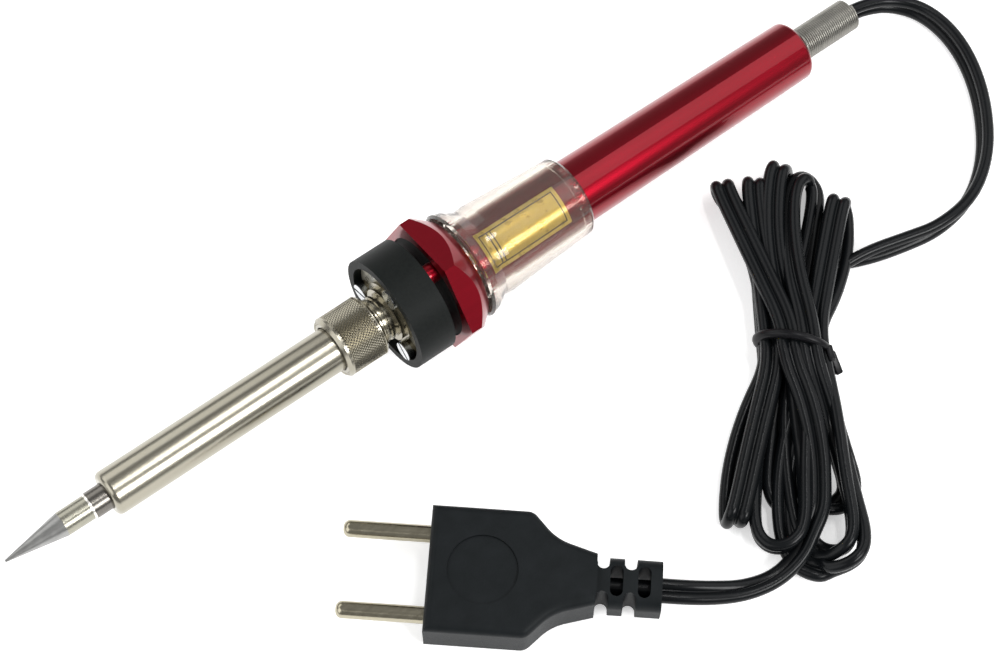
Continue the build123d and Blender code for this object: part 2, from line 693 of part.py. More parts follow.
with BuildPart() as plug_bridge:
    with BuildSketch(Plane(origin=in_plug(bridge_front), x_dir=plug_along.cross(Vector(0, 0, -1)), z_dir=plug_along)):
        Rectangle(bridge_width, bridge_height)
        with Locations(*[(side, 0) for side in pin_sides]):
            Circle(pin_shank_dia / 2, mode=Mode.SUBTRACT)
    extrude(amount=bridge_length)
save(plug_bridge, "plug_bridge")

with BuildPart() as plug_leads:
    for ends in plug_leads_ends:
        lead_face, lead_length = rod(*ends, conductor_dia)
        extrude(lead_face, amount=lead_length)
save(plug_leads, "plug_leads")

with BuildPart() as flex_in_plug:
    jacket_face, jacket_length = rod(in_plug(plug_jacket_from), in_plug(plug_length), flex_dia)
    extrude(jacket_face, amount=jacket_length)
save(flex_in_plug, "flex_in_plug")

# ==== free flex ====


def flex_tube(points):
    """The path of a flex and the sketch to sweep along it."""
    with BuildLine() as route:
        FilletPolyline(*points, radius=corner_radii(points))
    with BuildSketch(Plane(origin=route.line @ 0, z_dir=route.line % 0)) as section:
        Circle(flex_dia / 2)
    return route.wires()[0], section.sketch


def report_tube(name, piece, path):
    expected = path.length * 3.14159265 * (flex_dia / 2) ** 2
    print(name, "length", round(path.length, 1), "volume share", round(piece.part.volume / expected, 4))


spring_mouth = on_axis(spring_end)
first_bend = on_axis(spring_end + flex_first_run)
hank_route = [tuple(spring_mouth), tuple(first_bend)] + flex_to_hank
hank_path, hank_face = flex_tube(hank_route)
with BuildPart() as flex_lead:
    sweep(hank_face, path=hank_path)
save(flex_lead, "flex_to_hank")
report_tube("flex_to_hank", flex_lead, hank_path)

plug_route = [tuple(in_plug(plug_length)), tuple(in_plug(plug_length + plug_first_run))] + flex_to_plug
plug_path, plug_face = flex_tube(plug_route)
with BuildPart() as flex_tail:
    sweep(plug_face, path=plug_path)
save(flex_tail, "flex_to_plug")
report_tube("flex_to_plug", flex_tail, plug_path)

hank_turn = radians(hank_heading)
hank_along = Vector(cos(hank_turn), sin(hank_turn), 0)
hank_side = Vector(0, 0, 1).cross(hank_along)


def hank_plane(distance, offset, height):
    """A plane square to the hank's length, centred on one of its sections."""
    centre = Vector(hank_top[0], hank_top[1], height) + hank_along * distance + hank_side * offset
    return Plane(origin=centre, x_dir=hank_side, z_dir=hank_along)


with BuildPart() as flex_hank:
    for distance, offset, width, height, middle in hank_sections:
        with BuildSketch(hank_plane(distance, offset, middle)):
            Ellipse(width / 2, height / 2)
    loft(ruled=True)
save(flex_hank, "flex_hank")

# Tie: a soft wire tie bent round the hank's waist, with the stub of its twisted end.
_, tie_offset, tie_width, tie_height, tie_middle = hank_sections[tie_first]
tie_from = hank_sections[tie_first][0] + tie_inset
tie_to = hank_sections[tie_last][0] - tie_inset
with BuildPart() as hank_tie:
    with BuildSketch(hank_plane(tie_from, tie_offset, tie_middle)):
        Ellipse(tie_width / 2 + tie_wall, tie_height / 2 + tie_wall)
        Ellipse(tie_width / 2, tie_height / 2, mode=Mode.SUBTRACT)
    extrude(amount=tie_to - tie_from)
    with BuildSketch(hank_plane(tie_from, tie_offset + tie_width / 2 + tie_wall / 2 + tie_head[0] / 2, tie_middle)):
        Rectangle(tie_head[0], tie_head[1])
    extrude(amount=tie_head[2])
save(hank_tie, "hank_tie")

print("tilt", round(degrees(tilt), 3), "axis x", round(axis_x, 3), "axis height", round(axis_height, 3))
print("stations: tip", round(tip_end, 2), "spring end", round(spring_end, 2))
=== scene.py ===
import json
from math import cos, pi, radians, sin

import bpy
from mathutils import Matrix, Vector


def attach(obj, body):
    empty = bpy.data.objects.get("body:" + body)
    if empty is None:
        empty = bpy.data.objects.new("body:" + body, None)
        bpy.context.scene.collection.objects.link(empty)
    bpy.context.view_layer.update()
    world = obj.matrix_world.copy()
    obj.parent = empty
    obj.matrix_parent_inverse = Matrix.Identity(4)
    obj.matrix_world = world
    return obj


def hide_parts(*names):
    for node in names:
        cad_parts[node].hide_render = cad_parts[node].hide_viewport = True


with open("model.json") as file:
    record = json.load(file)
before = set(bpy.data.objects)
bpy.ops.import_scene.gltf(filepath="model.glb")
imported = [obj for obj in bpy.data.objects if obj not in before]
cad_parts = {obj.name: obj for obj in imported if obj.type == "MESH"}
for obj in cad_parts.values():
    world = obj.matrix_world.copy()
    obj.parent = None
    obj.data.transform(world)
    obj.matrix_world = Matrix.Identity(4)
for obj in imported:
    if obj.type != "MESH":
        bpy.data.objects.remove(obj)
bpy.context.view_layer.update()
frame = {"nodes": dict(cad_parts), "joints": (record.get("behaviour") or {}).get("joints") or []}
nodes = frame["nodes"]

# Camera: half a metre above the bench, in front and to the left, looking down across the iron.
camera_data = bpy.data.cameras.new("camera")
camera_data.sensor_width = 36.0
camera_data.lens = 84.8
camera = bpy.data.objects.new("camera", camera_data)
camera.location = (-0.1297, -0.1864, 0.5155)
camera.rotation_euler = (radians(23.0), 0.0, radians(-37.41))
bpy.context.scene.collection.objects.link(camera)
bpy.context.scene.camera = camera


# Soldering tip: a turned copper bit under dull grey plating, its cone ending in a fine point.
# The barrel holds it on the heater. Its shape is the frame's own, and only its finish is made here.
MM = 0.001
# the iron's own axes: stations run along X from the hex flange's front to the flex, and are
# negative towards the tip
turned_part = next(joint for joint in frame["joints"] if joint["name"] == "nut_turn")
tool_forward = Vector(turned_part["axis"]).normalized()
tool_rearward = -tool_forward
tool_up = tool_rearward.cross(Vector((0, 1, 0)))
station_of_joint = -21.5 * MM
tool_origin = Vector(turned_part["pos_m"]) - tool_rearward * station_of_joint
tool_frame = Matrix.Translation(tool_origin) @ Matrix(
    (tool_rearward, Vector((0, 1, 0)), tool_up)).transposed().to_4x4()
to_tool = tool_frame.inverted()
cone_rear = -99.7 * MM
band_rear = -92.7 * MM
glint_ring_half_width = 0.22 * MM
weld_gap = 0.001 * MM


class Wire:
    """A value inside a material. Sums on it add their Math nodes."""

    def __init__(self, finish, socket):
        self.finish = finish
        self.socket = socket

    def math(self, operation, *others):
        inputs = dict(enumerate((self, *others)))
        return self.finish.node("ShaderNodeMath", {"operation": operation}, inputs)

    def swapped(self, operation, other):
        return self.finish.node("ShaderNodeMath", {"operation": operation}, {0: other, 1: self})

    def __add__(self, other):
        return self.math("ADD", other)

    def __sub__(self, other):
        return self.math("SUBTRACT", other)

    def __mul__(self, other):
        return self.math("MULTIPLY", other)

    def __rsub__(self, other):
        return self.swapped("SUBTRACT", other)

    def __gt__(self, other):
        return self.math("GREATER_THAN", other)

    def __lt__(self, other):
        return self.math("LESS_THAN", other)

    __radd__ = __add__
    __rmul__ = __mul__


class Finish:
    """A material. Its fixed values are set on the shader, and feed() links what varies."""

    def __init__(self, name, **fixed):
        self.material = bpy.data.materials.new(name)
        self.material.use_nodes = True
        self.tree = self.material.node_tree
        self.shader = self.tree.nodes["Principled BSDF"]
        for socket, value in fixed.items():
            self.shader.inputs[socket.replace("_", " ")].default_value = value

    def node(self, kind, settings=None, inputs=None, output=0):
        made = self.tree.nodes.new(kind)
        for key, value in (settings or {}).items():
            setattr(made, key, value)
        for key, value in (inputs or {}).items():
            if isinstance(value, Wire):
                self.tree.links.new(value.socket, made.inputs[key])
            else:
                made.inputs[key].default_value = value
        return Wire(self, made.outputs[output])

    def feed(self, socket, wire):
        self.tree.links.new(wire.socket, self.shader.inputs[socket])

    def place(self, scale=(1, 1, 1)):
        """Object coordinates turned so that X runs along the iron's axis, then scaled."""
        here = self.node("ShaderNodeTexCoord", output=3)
        turned = self.node("ShaderNodeMapping", {"vector_type": "POINT"}, {
            "Vector": here, "Location": to_tool.to_translation(), "Rotation": to_tool.to_euler()})
        return self.node("ShaderNodeMapping", {"vector_type": "POINT"}, {"Vector": turned, "Scale": scale})

    def noise(self, vector, scale, detail=2.0, roughness=0.5):
        return self.node("ShaderNodeTexNoise", None, {
            "Vector": vector, "Scale": scale, "Detail": detail, "Roughness": roughness})

    def blend(self, factor, first, second):
        """One colour running into another."""
        return self.node("ShaderNodeMix", {"data_type": "RGBA"}, {0: factor, 6: first, 7: second}, output=2)

    def bump(self, height, strength, depth):
        normal = self.node("ShaderNodeBump", None, {
            "Height": height, "Strength": strength, "Distance": depth})
        self.feed("Normal", normal)


def dress(finish, *names):
    """Gives the frame's own nodes a finish."""
    for name in names:
        nodes[name].data.materials.clear()
        nodes[name].data.materials.append(finish.material)


def smooth(piece, degrees=40.0):
    """Smooth shading, with edges kept sharp past an angle."""
    bpy.ops.object.select_all(action="DESELECT")
    piece.select_set(True)
    bpy.context.view_layer.objects.active = piece
    bpy.ops.object.shade_smooth_by_angle(angle=radians(degrees))


plating = Finish("tip_plating", Metallic=1.0, Specular_IOR_Level=0.5)
turning = plating.noise(plating.place((1, 0.02, 0.02)), 6000.0, 3.0)
smudge = plating.noise(plating.place(), 420.0, 4.0, 0.6)
station = plating.node("ShaderNodeSeparateXYZ", None, {0: plating.place()})
tinned = station < cone_rear
# ring: a thin line at the band's rear painted near-white, a painted highlight standing in for the glint off
# the groove there
ring = (station - band_rear).math("ABSOLUTE") < glint_ring_half_width
shank = station > band_rear
cone_grey = plating.blend(smudge, (0.20, 0.20, 0.195, 1), (0.40, 0.40, 0.39, 1))
band_grey = plating.blend(smudge, (0.28, 0.27, 0.22, 1), (0.36, 0.35, 0.29, 1))
plain = plating.blend(tinned, band_grey, cone_grey)
plain = plating.blend(shank, plain, (0.16, 0.15, 0.135, 1))
# the near-white colour on the ring is a painted highlight
plating.feed("Base Color", plating.blend(ring, plain, (0.95, 0.93, 0.88, 1)))
plating.feed("Roughness", 0.2 + turning * 0.06 + tinned * 0.1 + smudge * 0.08)
plating.bump(turning * 0.1 + smudge * tinned, 0.15, 0.00003)
dress(plating, "soldering_tip")


# Barrel: a thin stainless tube polished on a lathe, closed in at the front round the tip. It
# slides off over the heater when the nut is undone.
stainless = Finish("stainless", Metallic=1.0)
turning = stainless.noise(stainless.place((1, 0.02, 0.02)), 9000.0, 4.0, 0.6)
handling = stainless.noise(stainless.place((0.3, 1, 1)), 90.0, 3.0)
stainless.feed("Base Color", stainless.blend(handling, (0.30, 0.28, 0.225, 1), (0.37, 0.35, 0.29, 1)))
stainless.feed("Roughness", 0.2 + turning * 0.05 + handling * 0.04)
stainless.bump(turning, 0.1, 0.00001)
dress(stainless, "barrel")


# Knurled nut: stainless, turned, with a diamond knurl between two plain chamfered rims. It
# screws back over the neck and draws the barrel's flange against it.
nut_radius = 7.7 * MM
nut_front = -27.2 * MM
nut_rear = -16.3 * MM
nut_chamfer = 0.6 * MM
nut_mouth_radius = 5.75 * MM
mouth_land_radius = nut_mouth_radius + 0.7 * MM
face_groove_from = nut_mouth_radius + 0.9 * MM
face_groove_to = nut_radius - nut_chamfer - 0.2 * MM
face_groove_depth = 0.25 * MM
thread_radius = 6.35 * MM
lip_depth = 2.0 * MM
rim_width = 0.5 * MM
knurl_columns = 116
knurl_rows = 20
knurl_depth = 0.36 * MM
knurl_front = nut_front + nut_chamfer + rim_width
knurl_rear = nut_rear - nut_chamfer - rim_width * 0.5
knurl_bed_radius = nut_radius - knurl_depth - 0.1 * MM
knurl_crest_radius = nut_radius - 0.02 * MM


def turned(name, outline, steps=96):
    """A closed shape turned about the iron's axis from (station, radius) corners."""
    bpy.ops.object.select_all(action="DESELECT")
    bpy.ops.mesh.primitive_circle_add(vertices=len(outline), radius=MM)
    piece = bpy.context.object
    piece.name = name
    for vertex, (place, radius) in zip(piece.data.vertices, outline):
        vertex.co = (place, 0.0, radius)
    bpy.ops.object.mode_set(mode="EDIT")
    bpy.ops.mesh.select_all(action="SELECT")
    bpy.ops.mesh.spin(steps=steps, angle=2 * pi, center=(0, 0, 0), axis=(1, 0, 0))
    bpy.ops.mesh.select_all(action="SELECT")
    bpy.ops.mesh.remove_doubles(threshold=weld_gap)
    bpy.ops.mesh.normals_make_consistent(inside=False)
    bpy.ops.object.mode_set(mode="OBJECT")
    return piece


def seat(piece):
    """Moves a piece that was made along X at the origin on to the iron's axis."""
    piece.data.transform(tool_frame)
    piece.data.update()


def join(piece, *others):
    """Makes several meshes one piece."""
    bpy.ops.object.select_all(action="DESELECT")
    for other in (piece, *others):
        other.select_set(True)
    bpy.context.view_layer.objects.active = piece
    bpy.ops.object.join()


nut = turned("nut", [
    (nut_front, nut_mouth_radius), (nut_front, mouth_land_radius),
    (nut_front + face_groove_depth, face_groove_from), (nut_front + face_groove_depth, face_groove_to),
    (nut_front, nut_radius - nut_chamfer), (nut_front + nut_chamfer, nut_radius), (knurl_front, nut_radius),
    (knurl_front, knurl_bed_radius), (knurl_rear, knurl_bed_radius), (knurl_rear, nut_radius),
    (nut_rear - nut_chamfer, nut_radius), (nut_rear, nut_radius - nut_chamfer), (nut_rear, thread_radius),
    (nut_front + lip_depth, thread_radius), (nut_front + lip_depth, nut_mouth_radius)])
bpy.ops.mesh.primitive_grid_add(x_subdivisions=knurl_columns, y_subdivisions=knurl_rows, size=1.0)
knurl = bpy.context.object
knurl_pitch = (knurl_rear - knurl_front) / knurl_rows
for vertex in knurl.data.vertices:
    column = round((vertex.co.x + 0.5) * knurl_columns)
    row = round((vertex.co.y + 0.5) * knurl_rows)
    raised = (column + row) % 2 == 0 and 0 < row < knurl_rows
    radius = knurl_crest_radius if raised else nut_radius - knurl_depth
    around = 2 * pi * column / knurl_columns
    vertex.co = (knurl_front + knurl_pitch * row, radius * sin(around), radius * cos(around))
bpy.ops.object.mode_set(mode="EDIT")
bpy.ops.mesh.select_all(action="SELECT")
bpy.ops.mesh.remove_doubles(threshold=weld_gap)
bpy.ops.mesh.quads_convert_to_tris(quad_method="SHORTEST_DIAGONAL")
bpy.ops.mesh.normals_make_consistent(inside=False)
bpy.ops.object.mode_set(mode="OBJECT")
smooth(nut, 30)
join(nut, knurl)
seat(nut)
nut.data.materials.append(stainless.material)
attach(nut, "nut")
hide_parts("knurled_nut")


# Neck and ear plate: bright nickelled brass. The neck's grooved collar carries the thread, and
# the plate's three ears are screwed down in the collar's recess.
nickel = Finish("nickel_plate", Metallic=1.0)
grain = nickel.noise(nickel.place(), 700.0, 4.0)
stain = nickel.noise(nickel.place(), 130.0, 3.0)
nickel.feed("Base Color", nickel.blend(stain, (0.30, 0.275, 0.20, 1), (0.44, 0.41, 0.33, 1)))
nickel.feed("Roughness", 0.12 + grain * 0.16)
nickel.bump(grain, 0.15, 0.00005)
dress(nickel, "threaded_neck", "ear_plate")


# Ceramic: the heater's rod and base and the terminal block, all shut in.
ceramic = Finish("ceramic", Metallic=0.0)
grain = ceramic.noise(ceramic.place(), 900.0, 3.0)
ceramic.feed("Base Color", ceramic.blend(grain, (0.70, 0.68, 0.62, 1), (0.85, 0.84, 0.80, 1)))
ceramic.feed("Roughness", 0.5 + grain * 0.2)
ceramic.bump(grain, 0.2, 0.00005)
dress(ceramic, "heater_core", "heater_base", "terminal_block")


# Mica: a split disc under the ears, grey and silvery, in flakes.
mica = Finish("mica", Coat_Weight=0.4, Coat_Roughness=0.15)
flakes = mica.node("ShaderNodeTexVoronoi", None, {"Vector": mica.place(), "Scale": 900.0}, output=1)
flake = mica.node("ShaderNodeSeparateColor", None, {0: flakes})
mica.feed("Base Color", mica.blend(flake, (0.22, 0.21, 0.17, 1), (0.44, 0.42, 0.35, 1)))
mica.feed("Metallic", 0.25 + flake * 0.4)
mica.feed("Roughness", 0.25 + flake * 0.25)
mica.bump(flake, 0.12, 0.00003)
dress(mica, "mica_disc")


# Insulating collar: turned from dark cotton phenolic, matt, with fine lathe lines and specks.
phenolic = Finish("phenolic", Specular_IOR_Level=0.1)
weave = phenolic.noise(phenolic.place(), 1500.0, 3.0, 0.7)
turning = phenolic.noise(phenolic.place((1, 0.04, 0.04)), 4000.0, 3.0)
phenolic.feed("Base Color", phenolic.blend(weave, (0.003, 0.004, 0.004, 1), (0.012, 0.014, 0.013, 1)))
phenolic.feed("Roughness", 0.42 + weave * 0.2)
phenolic.bump(turning + weave, 0.3, 0.00005)
dress(phenolic, "insulating_collar")


# Rear disc, clamp and plug bridge: black fibre board, sawn and drilled.
board = Finish("black_board", Specular_IOR_Level=0.3)
grain = board.noise(board.place(), 1200.0, 4.0)
board.feed("Base Color", board.blend(grain, (0.010, 0.010, 0.010, 1), (0.026, 0.026, 0.026, 1)))
board.feed("Roughness", 0.5 + grain * 0.25)
board.bump(grain, 0.25, 0.00005)
dress(board, "rear_disc", "flex_clamp", "plug_bridge")


# Screws: small zinc-plated cheese heads with slots.
zinc = Finish("zinc_screw", Metallic=1.0)
grain = zinc.noise(zinc.place(), 800.0, 3.0)
zinc.feed("Base Color", zinc.blend(grain, (0.62, 0.64, 0.66, 1), (0.78, 0.80, 0.82, 1)))
zinc.feed("Roughness", 0.15 + grain * 0.15)
zinc.bump(grain, 0.2, 0.00004)
dress(zinc, "flange_screws", "clamp_screw")


# Hex flange, spacers and handle: aluminium, turned, milled and anodised crimson. The handle is
# a drawn tube, so faint lines run along it, and a broken ring is scribed near its rear.
scribed_station = 103.2 * MM
scribed_half_width = 0.11 * MM
anodised = Finish("red_anodised", Coat_Weight=0.45, Coat_Roughness=0.05)
lines = anodised.noise(anodised.place((0.012, 1, 1)), 2600.0, 3.0, 0.6)
cloud = anodised.noise(anodised.place(), 60.0, 2.0)
anodised.feed("Base Color", anodised.blend(cloud, (0.19, 0.0, 0.006, 1), (0.25, 0.0, 0.010, 1)))
anodised.feed("Roughness", 0.24 + lines * 0.14)
anodised.feed("Metallic", 0.9 + cloud * 0.05)
station = anodised.node("ShaderNodeSeparateXYZ", None, {0: anodised.place()})
dots = anodised.noise(anodised.place((0.0, 1, 1)), 1500.0) > 0.46
scribed = ((station - scribed_station).math("ABSOLUTE") < scribed_half_width) * dots
anodised.bump(lines - scribed * 6, 0.2, 0.00003)
dress(anodised, "handle_tube", "hex_flange", "spacers")


# Inner pieces: fibre liner, nickel leads in glass sleeving, brass terminals and ferrule, copper
# cores. They are shut in, and show only where a gap lets them.
fibre = Finish("fibre_board", Coat_Weight=0.3)
grain = fibre.noise(fibre.place((0.1, 1, 1)), 900.0, 4.0)
fibre.feed("Base Color", fibre.blend(grain, (0.52, 0.42, 0.24, 1), (0.68, 0.60, 0.42, 1)))
fibre.feed("Roughness", 0.4 + grain * 0.2)
dress(fibre, "inner_liner")
wire = Finish("nickel_wire", Metallic=1.0)
grain = wire.noise(wire.place((0.1, 1, 1)), 3000.0)
wire.feed("Base Color", wire.blend(grain, (0.56, 0.55, 0.52, 1), (0.68, 0.67, 0.64, 1)))
wire.feed("Roughness", 0.25 + grain * 0.15)
dress(wire, "heater_leads")
sleeving = Finish("glass_sleeving", Sheen_Weight=0.3)
braid = sleeving.node("ShaderNodeTexWave", {"wave_type": "BANDS", "bands_direction": "DIAGONAL"}, {
    "Vector": sleeving.place(), "Scale": 900.0, "Distortion": 1.0})
sleeving.feed("Base Color", sleeving.blend(braid, (0.62, 0.60, 0.54, 1), (0.82, 0.81, 0.76, 1)))
sleeving.feed("Roughness", 0.7 + braid * 0.2)
sleeving.bump(braid, 0.4, 0.0001)
dress(sleeving, "lead_sleeves")
brass = Finish("brass_parts", Metallic=1.0)
grain = brass.noise(brass.place((1, 0.05, 0.05)), 4000.0, 3.0)
brass.feed("Base Color", brass.blend(grain, (0.60, 0.44, 0.18, 1), (0.76, 0.60, 0.30, 1)))
brass.feed("Roughness", 0.2 + grain * 0.15)
dress(brass, "terminal_screws", "flex_ferrule")
copper = Finish("copper_core", Metallic=1.0)
grain = copper.noise(copper.place((0.2, 1, 1)), 4000.0, 3.0)
copper.feed("Base Color", copper.blend(grain, (0.72, 0.36, 0.20, 1), (0.86, 0.52, 0.36, 1)))
copper.feed("Roughness", 0.25 + grain * 0.15)
dress(copper, "flex_conductors", "plug_leads")


# Label: thin gilt foil, lacquered, wrapped part of the way round the handle under the sleeve.
# It has a plain dark frame line, and a double band crosses its front end.
label_front, label_length = 12.1 * MM, 24.0 * MM
label_from, label_sweep = radians(85.0), radians(64.0)
label_radius = 8.5 * MM
frame_inset_along, frame_inset_across = 1.1 * MM, 1.0 * MM
frame_half_line = 0.14 * MM
band_places = (4.0 * MM, 5.0 * MM)
band_half_line = 0.16 * MM
gold = Finish("gold_label", Coat_Weight=0.4, Coat_Roughness=0.12)
spot = gold.place()
along = gold.node("ShaderNodeSeparateXYZ", None, {0: spot})
across_y = gold.node("ShaderNodeSeparateXYZ", None, {0: spot}, output=1)
across_z = gold.node("ShaderNodeSeparateXYZ", None, {0: spot}, output=2)
around = across_z.math("ARCTAN2", across_y)
from_middle = (along - (label_front + label_length / 2)).math("ABSOLUTE")
from_centre = (around - (label_from + label_sweep / 2)).math("ABSOLUTE") * label_radius
half_long = label_length / 2
half_wide = label_sweep / 2 * label_radius
edge_along = (from_middle - (half_long - frame_inset_along)).math("ABSOLUTE") < frame_half_line
edge_across = (from_centre - (half_wide - frame_inset_across)).math("ABSOLUTE") < frame_half_line
drawn = edge_along + edge_across
for place in band_places:
    drawn = drawn + ((along - (label_front + place)).math("ABSOLUTE") < band_half_line)
inside = ((from_middle < half_long - frame_inset_along + frame_half_line)
          * (from_centre < half_wide - frame_inset_across + frame_half_line))
lines_drawn = (drawn * inside).math("MINIMUM", 1.0)
rub = gold.noise(spot, 500.0, 4.0)
foil = gold.blend(rub, (0.92, 0.66, 0.05, 1), (1.0, 0.85, 0.20, 1))
gold.feed("Base Color", gold.blend(lines_drawn, foil, (0.03, 0.018, 0.006, 1)))
gold.feed("Metallic", 0.4 - lines_drawn * 0.35)
gold.feed("Roughness", 0.22 + rub * 0.14)
gold.bump(rub, 0.1, 0.00004)
dress(gold, "nameplate")


# Sleeve: soft clear vinyl, moulded with a flared front and pushed over the handle's front. It
# is slightly smoky, and faint flow lines run along it.
clear = Finish("clear_sleeve", Transmission_Weight=0.95, IOR=1.36, Specular_IOR_Level=0.35)
flow = clear.noise(clear.place((0.08, 1, 1)), 900.0, 3.0)
clear.feed("Base Color", clear.blend(flow, (0.66, 0.60, 0.53, 1), (0.78, 0.73, 0.67, 1)))
clear.feed("Roughness", 0.05 + flow * 0.04)
clear.bump(flow, 0.05, 0.00002)
dress(clear, "grip_sleeve")


# Relief spring: zinc-plated steel wire, close-wound over the flex where it leaves the handle,
# with two wider coils seated on the ferrule.
wire_dia = 0.65 * MM
spring_radius = 4.15 * MM - wire_dia / 2
base_radius = 4.75 * MM - wire_dia / 2
spring_coils, base_coils = 28, 2
step_in = 0.25
steel = Finish("spring_steel", Metallic=1.0)
grain = steel.noise(steel.place(), 1500.0, 3.0)
tarnish = steel.noise(steel.place(), 200.0, 3.0)
steel.feed("Base Color", steel.blend(tarnish, (0.17, 0.165, 0.15, 1), (0.32, 0.31, 0.28, 1)))
steel.feed("Roughness", 0.28 + grain * 0.18)
steel.bump(grain, 0.2, 0.00003)
spring_ends = [to_tool @ vertex.co for vertex in nodes["relief_spring"].data.vertices]
spring_front = min(corner.x for corner in spring_ends) + wire_dia / 2
spring_rear = max(corner.x for corner in spring_ends) - wire_dia / 2
turns = spring_coils + base_coils
coil_steps = 40
wire_sides = 10
wire_lead = (spring_rear - spring_front) / turns
bpy.ops.object.select_all(action="DESELECT")
bpy.ops.mesh.primitive_grid_add(x_subdivisions=turns * coil_steps, y_subdivisions=wire_sides, size=1.0)
spring = bpy.context.object
spring.name = "spring_wire"
for vertex in spring.data.vertices:
    step = round((vertex.co.x + 0.5) * turns * coil_steps)
    side = round((vertex.co.y + 0.5) * wire_sides)
    turn = step / coil_steps
    radius = base_radius if turn < base_coils else spring_radius
    if base_coils <= turn < base_coils + step_in:
        radius = base_radius + (spring_radius - base_radius) * (turn - base_coils) / step_in
    outward = radius + wire_dia / 2 * cos(2 * pi * side / wire_sides)
    ahead = spring_front + wire_lead * turn + wire_dia / 2 * sin(2 * pi * side / wire_sides)
    vertex.co = (ahead, outward * sin(2 * pi * turn), outward * cos(2 * pi * turn))
bpy.ops.object.mode_set(mode="EDIT")
bpy.ops.mesh.select_all(action="SELECT")
bpy.ops.mesh.remove_doubles(threshold=weld_gap)
bpy.ops.mesh.select_all(action="DESELECT")
bpy.ops.mesh.select_non_manifold()
bpy.ops.mesh.fill()
bpy.ops.mesh.select_all(action="SELECT")
bpy.ops.mesh.normals_make_consistent(inside=False)
bpy.ops.object.mode_set(mode="OBJECT")
smooth(spring, 50)
seat(spring)
spring.data.materials.append(steel.material)
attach(spring, "handle")
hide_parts("relief_spring")


# Flex: black two-core PVC flex, two round cores joined by a thin web. It leaves the spring on
# edge, swings round to the hank, is folded to and fro there, and runs on to the plug.
flex_core = 2.9 * MM
hank_origin = Vector((80.4, -21.4, 0.0)) * MM
hank_along = Vector((cos(radians(-124.4)), sin(radians(-124.4)), 0.0))
hank_side = Vector((-hank_along.y, hank_along.x, 0.0))
up = Vector((0.0, 0.0, 1.0))


def in_hank(along, side, height):
    """A place in the hank, in millimetres along it, across it and above the bench."""
    return hank_origin + (hank_along * along + hank_side * side + up * height) * MM


# one entry for each free point: x, y and z in millimetres, then the lean of the flex's wide side
to_hank = [
    (119.1, 0.0, 6.3, 90), (122.1, -0.1, 6.0, 90), (127.1, -0.9, 5.4, 92), (133.5, -3.3, 4.0, 88),
    (138.8, -9.6, 3.2, 75), (140.1, -19.0, 2.9, 68), (137.7, -29.4, 2.9, 68), (132.1, -40.0, 2.9, 68),
    (123.9, -49.8, 2.9, 70), (113.5, -56.2, 2.9, 80), (102.1, -57.3, 2.9, 95), (93.1, -55.0, 2.9, 110),
    (85.1, -52.6, 2.8, 112)]
to_plug = [
    (27.0, -97.1, 5.6, 35), (21.8, -100.0, 4.2, 45), (14.6, -100.8, 3.4, 45), (7.2, -98.8, 3.8, 30),
    (1.0, -95.3, 5.0, 10), (-4.9, -91.2, 6.5, 0), (-9.1, -87.5, 6.75, 0)]

# one row for each pass of the hank: across, height, lean and bow of its end by the iron, its place
# in the tie, and the same four for its far end
passes = [
    (9.0, 2.3, 30, 0.0, 4.4, 4.0, 12.2, 6.2, 90, 0.4),
    (15.3, 1.9, 0, 3.0, 4.4, 6.6, -5.5, 2.0, 15, -5.0),
    (14.0, 7.4, 0, 0.0, 4.6, 9.3, 9.3, 6.2, 90, 0.3),
    (10.5, 3.0, 50, 0.5, -0.8, 6.6, -1.5, 2.1, 20, -2.5),
    (3.8, 6.6, 50, -2.2, 2.4, 12.0, 10.8, 2.3, 20, 0.0),
    (2.6, 1.7, 0, 0.0, -0.8, 4.0, -8.6, 2.3, 20, -1.6),
    (0.0, 7.6, 0, -2.6, -0.6, 9.3, -2.5, 5.4, 90, 0.6),
    (-4.6, 1.7, 0, 0.0, -6.0, 4.0, -13.9, 4.6, 80, -1.5),
    (-6.2, 7.4, 0, 0.0, -5.8, 9.3, -17.3, 7.0, 0, -0.3),
    (-12.6, 1.8, 0, 3.0, -6.0, 6.6, -18.5, 1.8, 0, -3.0),
    (-14.0, 7.4, 0, 0.0, -2.4, 12.0, 1.0, 7.0, 20, 2.6)]
# how far along the hank its folds lie, and where its first pass begins and its last one ends
near_ends = (10.2, 3.5, 0.6, 4.2, 4.6)
far_ends = (101.3, 97.5, 86.5, 95.8, 89.0)
first_start, last_end = 27.0, 88.0
tie_near, tie_far = 43.5, 52.5
# the points of a pass, as shares of its way from the tie, and how its corners draw together
pass_shares = (0.0, 0.3, 0.62, 0.9)
corner_pull = 0.28
lean_rate = 1.6


def half_pass(end, tie_at, across, height, lean, bow, tie_across, tie_height, mate_across):
    """The points of one pass from the tie to the corner of the fold at its end."""
    points = []
    for share in pass_shares:
        points.append((tie_at + (end - tie_at) * share,
                       tie_across + (across - tie_across) * share + bow * 4 * share * (1 - share),
                       tie_height + (height - tie_height) * share, lean * min(1.0, lean_rate * share)))
    points.append((end, across + (mate_across - across) * corner_pull, height, lean))
    return points


route = []
for x, y, z, lean in to_hank:
    route.append((Vector((x, y, z)) * MM, lean, False))
last_pass = len(passes) - 1
for index, row in enumerate(passes):
    near_across, near_height, near_lean, near_bow, tie_across, tie_height = row[:6]
    far_across, far_height, far_lean, far_bow = row[6:]
    going_down = index % 2 == 0
    near_end = near_ends[(index - 1) // 2] if index else first_start
    far_end = far_ends[index // 2] if index < last_pass else last_end
    near_mate = passes[index - 1 if going_down else index + 1][0] if index else near_across
    far_mate = passes[index + 1 if going_down else index - 1][6] if index < last_pass else far_across
    near = half_pass(near_end, tie_near, near_across, near_height, near_lean, near_bow,
                     tie_across, tie_height, near_mate)
    far = half_pass(far_end, tie_far, far_across, far_height, far_lean, far_bow,
                    tie_across, tie_height, far_mate)
    ordered = near[::-1] + far if going_down else far[::-1] + near
    for along, side, height, lean in ordered:
        route.append((in_hank(along, side, height), lean, True))
